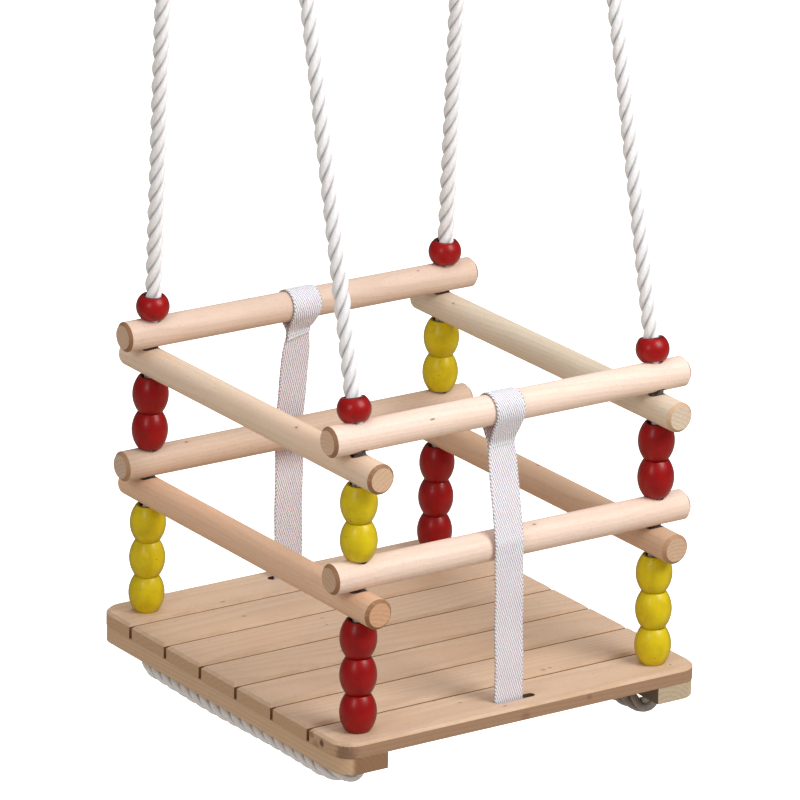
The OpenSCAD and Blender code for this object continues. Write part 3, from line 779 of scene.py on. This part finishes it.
def strap_half(side):
    """Centre line from the sewn end to the middle of the seat, as (y, z, x)."""
    sign, x_at, drop = SIGN[side], STRAP_X[side], SEAM_DROP[side]
    top = centre(f"{side}_top_rail")
    low_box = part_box(f"{side}_lower_rail")
    low_z = centre(f"{side}_lower_rail").z
    loop = RAIL_RADIUS + 0.0003 + WEB_THICK / 2
    seam_angle = math.asin((loop - 0.001) / drop)
    wall = abs(low_box[1 if sign > 0 else 0].y) + 0.0008 + WEB_THICK / 2 + 0.0006
    inner_y = top.y - sign * 0.00095
    # over the top rail, from its inner side to its outer side
    points = [(inner_y, top.z - drop - TAIL, x_at["end"]), (inner_y, top.z - drop, x_at["end"])]
    for angle in np.linspace(-seam_angle, math.pi + seam_angle, 31):
        rail = math.sin(max(0.0, min(math.pi, angle)))
        points.append((top.y - sign * loop * math.cos(angle), top.z + loop * math.sin(angle),
                       x_at["seam"] * (1 - rail) + x_at["rail"] * rail))
    points += [
        (top.y + sign * 0.00095, top.z - drop, x_at["seam"]),
        (top.y + sign * 0.00100, top.z - drop - TAIL, x_at["seam"]),
        # down outside the lower rail, then to the slot
        (sign * wall, low_z + 0.005, x_at["low"]),
        (sign * (wall - 0.0001), low_z - 0.006, x_at["low"]),
        (sign * SLOT_Y, 0.0, x_at["slot"]),
    ]
    for angle in np.linspace(0, math.pi / 2, 8):
        points.append((sign * (SLOT_Y - SLOT_BEND + SLOT_BEND * math.cos(angle)),
                       RUN_Z + SLOT_BEND - SLOT_BEND * math.sin(angle), x_at["slot"]))
    points.append((0.0, RUN_Z, x_at["mid"]))
    return points


def build_strap():
    line = resample(strap_half("front") + strap_half("rear")[::-1][1:], 0.00042)
    line = smooth_line(line, 2.6)
    middle_x = smooth_values(line[:, 2], 26)
    path = line[:, :2]
    tangent = headings(path)
    normal = np.stack([-tangent[:, 1], tangent[:, 0]], 1)
    along = distances(path)
    total = float(along[-1])
    material = webbing_material(total)

    def near(y, z, reach):
        return np.exp(-(((path[:, 0] - y) / 0.02) ** 2 + ((path[:, 1] - z) / reach) ** 2))

    # the tape is drawn narrower at the seams
    front, rear = centre("front_top_rail"), centre("rear_top_rail")
    pinch = np.maximum(near(front.y, front.z - SEAM_DROP["front"], 0.010),
                       near(rear.y, rear.z - SEAM_DROP["rear"] - 0.002, 0.012) * 1.9)
    half_width = WEB_WIDTH / 2 * (1 - 0.095 * pinch)

    # closed section: one face, round selvedge, the other face, round selvedge
    columns = np.linspace(-1, 1, 23)
    section = [(column, 0.5) for column in columns] + [(1.018, 0.0)]
    section += [(column, -0.5) for column in columns[::-1]] + [(-1.018, 0.0)]
    across, layer = np.array(section).T[:, None]
    at_edge = np.abs(across) > 0.97
    scallop = 0.00016 * np.cos(2 * math.pi * along / 0.00125)
    offset = across * half_width[:, None]
    offset = offset + np.where(at_edge, np.sign(across) * scallop[:, None], 0)

    # the tape is not perfectly flat: a slow cup across it and soft waves along the free runs
    free = (np.abs(path[:, 1] - 0.06) < 0.055) | (np.abs(path[:, 1] - 0.165) < 0.022)
    free = smooth_values(free.astype(float), 30)
    cup = 0.0005 * free[:, None] * (1 - across ** 2)
    wave = 0.0004 * free * np.sin(2 * math.pi * along / 0.061 + 0.7)
    rib = 0.00010 * np.sin(2 * math.pi * (offset / 0.0042 + along[:, None] / 0.0092))
    lift = layer * WEB_THICK * (1 - 0.35 * at_edge) + (cup + wave[:, None])
    lift = lift + np.sign(layer) * rib
    y = path[:, None, 0] + lift * normal[:, None, 0]
    z = path[:, None, 1] + lift * normal[:, None, 1]
    # the cut ends aren't square
    z = z + 0.22 * offset * np.clip(1 - (total - along) / 0.011, 0, 1)[:, None]
    z = z + 0.05 * offset * np.clip(1 - along / 0.011, 0, 1)[:, None]
    verts = np.stack([middle_x[:, None] + offset, y, z], -1).reshape(-1, 3)

    rows, count = offset.shape
    faces = tube_faces(rows, count)[:, [0, 3, 2, 1]].tolist()
    faces += [tuple(range(count)), tuple(range(rows * count - 1, (rows - 1) * count - 1, -1))]
    strap = mesh_object("twill_strap", verts, faces, material)
    web_uv = np.stack(np.broadcast_arrays(across * WEB_WIDTH / 2, along[:, None],
                                          np.sign(layer) * 3), -1)
    attribute(strap, "web_uv", "FLOAT_VECTOR", web_uv)
    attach(strap, "seat")
    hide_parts("webbing_strap")


def stitches(name, rows, middle_x, width, normal_y):
    """Rows (y, z, tilt) of short lock stitches across the tape, each a small bowed thread."""
    segments, sides = 6, 6
    radius = 0.00022
    count = int(width / 0.0026)
    verts, faces = [], []
    for row_y, row_z, tilt in rows:
        for i in range(count):
            start = middle_x - width / 2 + i * width / count + 0.0003
            length = width / count - 0.0006
            base = len(verts)
            for j in range(segments + 1):
                bow = math.sin(math.pi * j / segments)
                thick = radius * (0.45 + 0.55 * bow)
                x = start + length * j / segments
                y = row_y + normal_y * radius * bow
                z = row_z + tilt * (x - middle_x) + 0.0002 * bow
                verts += [(x, *point) for point in
                          arc((y, z), thick, 0, 2 * math.pi, sides + 1)[:-1]]
            faces += (tube_faces(segments + 1, sides) + base).tolist()
            faces.append([base + side for side in range(sides)][::-1])
            faces.append([base + segments * sides + side for side in range(sides)])
    thread = mesh_object(name, verts, faces, THREAD)
    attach(thread, "seat")


build_strap()
for side, tilt in (("front", 0.02), ("rear", 0.12)):
    rail = centre(f"{side}_top_rail")
    seam_z = rail.z - SEAM_DROP[side]
    for face, facing in (("outer", SIGN[side]), ("inner", -SIGN[side])):
        seam_y = rail.y + facing * (0.00098 + WEB_THICK / 2 + 0.00006)
        stitches(f"{side}_seam_stitches_{face}",
                 [(seam_y, seam_z - 0.0002, tilt), (seam_y, seam_z - 0.0030, tilt + 0.02)],
                 middle_x=STRAP_X[side]["end"], width=WEB_WIDTH * 0.84, normal_y=facing)


# ---------------------------------------------------------------- stage
def stage_material():
    """Near white to the camera, a dull warm grey to every other ray."""
    mat = new_material("studio_floor")
    cloud = mat.noise(mat.signal("TexCoord", output="Object"), scale=3.0)
    colour = mat.mix(cloud, (0.86, 0.86, 0.86, 1), (0.90, 0.90, 0.90, 1))
    diffuse = mat.signal("BsdfDiffuse", {"Color": colour, "Roughness": 1.0})
    glow = mat.signal("Emission", {"Color": (1, 1, 1, 1), "Strength": 0.85})
    bright = mat.signal("AddShader", {0: diffuse, 1: glow})
    to_camera = mat.signal("LightPath", output="Is Camera Ray")
    dull = mat.signal("BsdfDiffuse", {"Color": (0.56, 0.51, 0.44, 1), "Roughness": 1.0})
    mat.node("OutputMaterial", {0: mat.signal("MixShader", {0: to_camera, 1: dull, 2: bright})})
    return mat.owner


floor_z = cad_box[0].z - 0.42
bpy.ops.mesh.primitive_circle_add(vertices=96, radius=30, fill_type="NGON",
                                  location=(0, 0, floor_z))
floor = bpy.context.active_object
floor.name = "studio_floor"
floor.data.materials.append(stage_material())

# white to the camera, a warm light of strength 0.48 to the rest, but 0.12 in reflections
world = bpy.data.worlds.new("studio")
bpy.context.scene.world = world
sky = Shader(world)
rays = sky.node("LightPath").outputs
strength = sky.signal("Math", {0: rays["Is Glossy Ray"], 1: -0.36, 2: 0.48},
                      operation="MULTIPLY_ADD")
backdrop = sky.signal("Background", {"Color": (1, 1, 1, 1), "Strength": 1.02})
ambient = sky.signal("Background", {"Color": (1.0, 0.975, 0.94, 1), "Strength": strength})
sky.node("OutputWorld", {
    0: sky.signal("MixShader", {0: rays["Is Camera Ray"], 1: ambient, 2: backdrop})})

LIGHT_AIM = Vector((0, 0, 0.12))


def area(name, direction, distance, size, power, colour=(1, 1, 1)):
    """A rectangular light, at a distance in a direction from the aim and facing it."""
    light = bpy.data.lights.new(name, "AREA")
    light.shape = "RECTANGLE"
    light.size, light.size_y = size
    light.energy = power
    light.color = colour
    lamp = bpy.data.objects.new(name, light)
    bpy.context.scene.collection.objects.link(lamp)
    outward = Vector(direction).normalized()
    lamp.location = LIGHT_AIM + outward * distance
    lamp.rotation_euler = (-outward).to_track_quat("-Z", "Y").to_euler()
    return lamp


area("key", direction=(0.30, -0.66, 0.68), distance=2.6, size=(1.3, 1.3), power=49,
     colour=(1.0, 0.985, 0.965))
area("left_fill", direction=(-0.80, -0.40, 0.45), distance=2.8, size=(0.6, 1.0), power=13,
     colour=(1.0, 0.98, 0.95))
area("top", direction=(0.0, 0.15, 1.0), distance=2.6, size=(1.2, 1.2), power=10)
back_rim = area("back_rim", direction=(0.55, 0.80, 0.50), distance=2.8, size=(1.0, 1.2),
                power=10)
back_rim.visible_glossy = False

# ---------------------------------------------------------------- camera
azimuth, elevation, roll = (math.radians(angle) for angle in (-34.334, 18.921, 1.128))
target = Vector((0.13676, 0.20284, 0.11116))
target_distance = 5.7712

cam_data = bpy.data.cameras.new("camera")
camera = bpy.data.objects.new("camera", cam_data)
bpy.context.scene.collection.objects.link(camera)
back = Vector((math.sin(azimuth) * math.cos(elevation),
               -math.cos(azimuth) * math.cos(elevation), math.sin(elevation)))
level_right = (-back).cross(Vector((0, 0, 1))).normalized()
level_up = level_right.cross(-back)
right = level_right * math.cos(roll) + level_up * math.sin(roll)
up = level_up * math.cos(roll) - level_right * math.sin(roll)
camera.matrix_world = Matrix((right, up, back)).transposed().to_4x4()
camera.location = target + back * target_distance
cam_data.sensor_width = 36.0
cam_data.lens = 320.2182
cam_data.clip_end = 100
bpy.context.scene.camera = camera
bpy.context.scene.view_settings.view_transform = "Standard"
